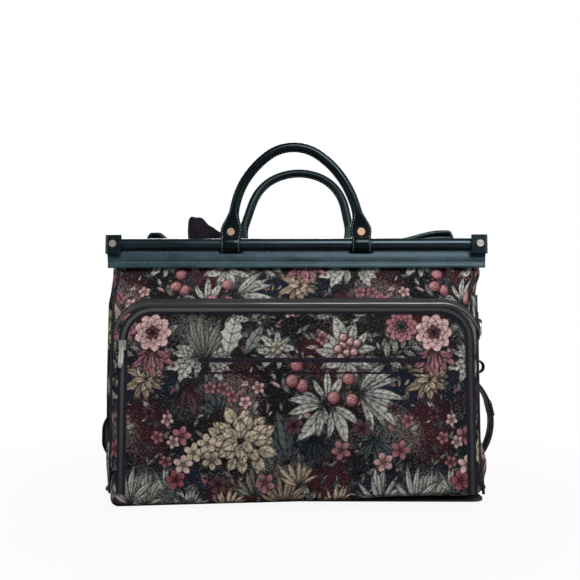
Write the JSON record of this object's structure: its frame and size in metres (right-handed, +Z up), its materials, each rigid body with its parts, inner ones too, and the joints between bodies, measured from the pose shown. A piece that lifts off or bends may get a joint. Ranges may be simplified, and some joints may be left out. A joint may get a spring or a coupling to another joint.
{
  "type": "rolling garment bag",
  "caption": "Soft floral tapestry garment bag hung from two leather-covered rails, with rolled handles, a zipped front pocket, side straps and wheels.",
  "frame": {"origin": "floor under the middle of the bag's own width and depth, pocket and straps left out", "axes": "+Z up, +X to the viewer's right along the rails, -Y towards the front pocket"},
  "size_m": [0.5772, 0.2557, 0.515],
  "materials": {
    "tapestry": "woven floral tapestry",
    "lining_cloth": "black woven cloth",
    "zip_tape": "woven zip tape",
    "nickel": "nickel plate",
    "brass": "antique brass",
    "leather": "smooth green-black leather",
    "black_metal": "black plate",
    "board": "moulded grain",
    "housing": "moulded satin",
    "steel": "plain steel",
    "hub": "moulded satin",
    "tyre": "matt rubber"
  },
  "bodies": {
    "bag": {"main_bag": "tapestry", "front_pocket": "tapestry", "slip_pocket_welt": "tapestry", "top_crown": "lining_cloth", "hook_flap": "lining_cloth", "pocket_zip_tape": "zip_tape", "pocket_zip_coil": "zip_tape", "rail_screws": "nickel", "left_strap_rivets": "nickel", "right_strap_rivets": "nickel", "front_rail": "leather", "rear_rail": "leather", "front_rail_band": "leather", "rear_rail_band": "leather", "left_end_tab": "leather", "right_end_tab": "leather", "top_strap": "leather", "left_side_strap": "leather", "right_side_strap": "leather", "ring_chape": "leather", "buckle_frame": "black_metal", "buckle_prong": "black_metal", "base_board": "board", "glide_feet": "board", "front_wheel_housing": "housing", "rear_wheel_housing": "housing", "front_wheel_axle": "steel", "rear_wheel_axle": "steel"},
    "front_handle": {"front_handle": "leather", "front_handle_rivets": "brass"},
    "rear_handle": {"rear_handle": "leather", "rear_handle_rivets": "brass"},
    "front_wheel": {"front_wheel_hub": "hub", "front_wheel_tyre": "tyre"},
    "rear_wheel": {"rear_wheel_hub": "hub", "rear_wheel_tyre": "tyre"},
    "zip_slider": {"zip_slider": "nickel"},
    "zip_pull": {"zip_pull": "nickel"},
    "side_ring": {"side_ring": "black_metal"}
  },
  "joints": [
    {"name": "front_handle_swing", "type": "hinge", "parent": "bag", "child": "front_handle", "pos_m": [0, -0.055, 0.364], "axis": [1, 0, 0], "range_deg": [-15, 110]},
    {"name": "rear_handle_swing", "type": "hinge", "parent": "bag", "child": "rear_handle", "pos_m": [0, 0.055, 0.364], "axis": [1, 0, 0], "range_deg": [-96, 29]},
    {"name": "front_wheel_spin", "type": "hinge", "parent": "bag", "child": "front_wheel", "pos_m": [-0.226, -0.066, 0.022], "axis": [0, 1, 0], "continuous": true},
    {"name": "rear_wheel_spin", "type": "hinge", "parent": "bag", "child": "rear_wheel", "pos_m": [-0.226, 0.066, 0.022], "axis": [0, 1, 0], "continuous": true},
    {"name": "zip_slide", "type": "slide", "parent": "bag", "child": "zip_slider", "axis": [0, 0, 1], "range_m": [-0.185, 0]},
    {"name": "zip_pull_swing", "type": "hinge", "parent": "zip_slider", "child": "zip_pull", "pos_m": [-0.2315, -0.143, 0.217], "axis": [1, 0, 0], "range_deg": [-150, 0]},
    {"name": "side_ring_swing", "type": "hinge", "parent": "bag", "child": "side_ring", "pos_m": [0.27, -0.035, 0.25], "axis": [0, 1, 0], "range_deg": [-140, 5]}
  ]
}
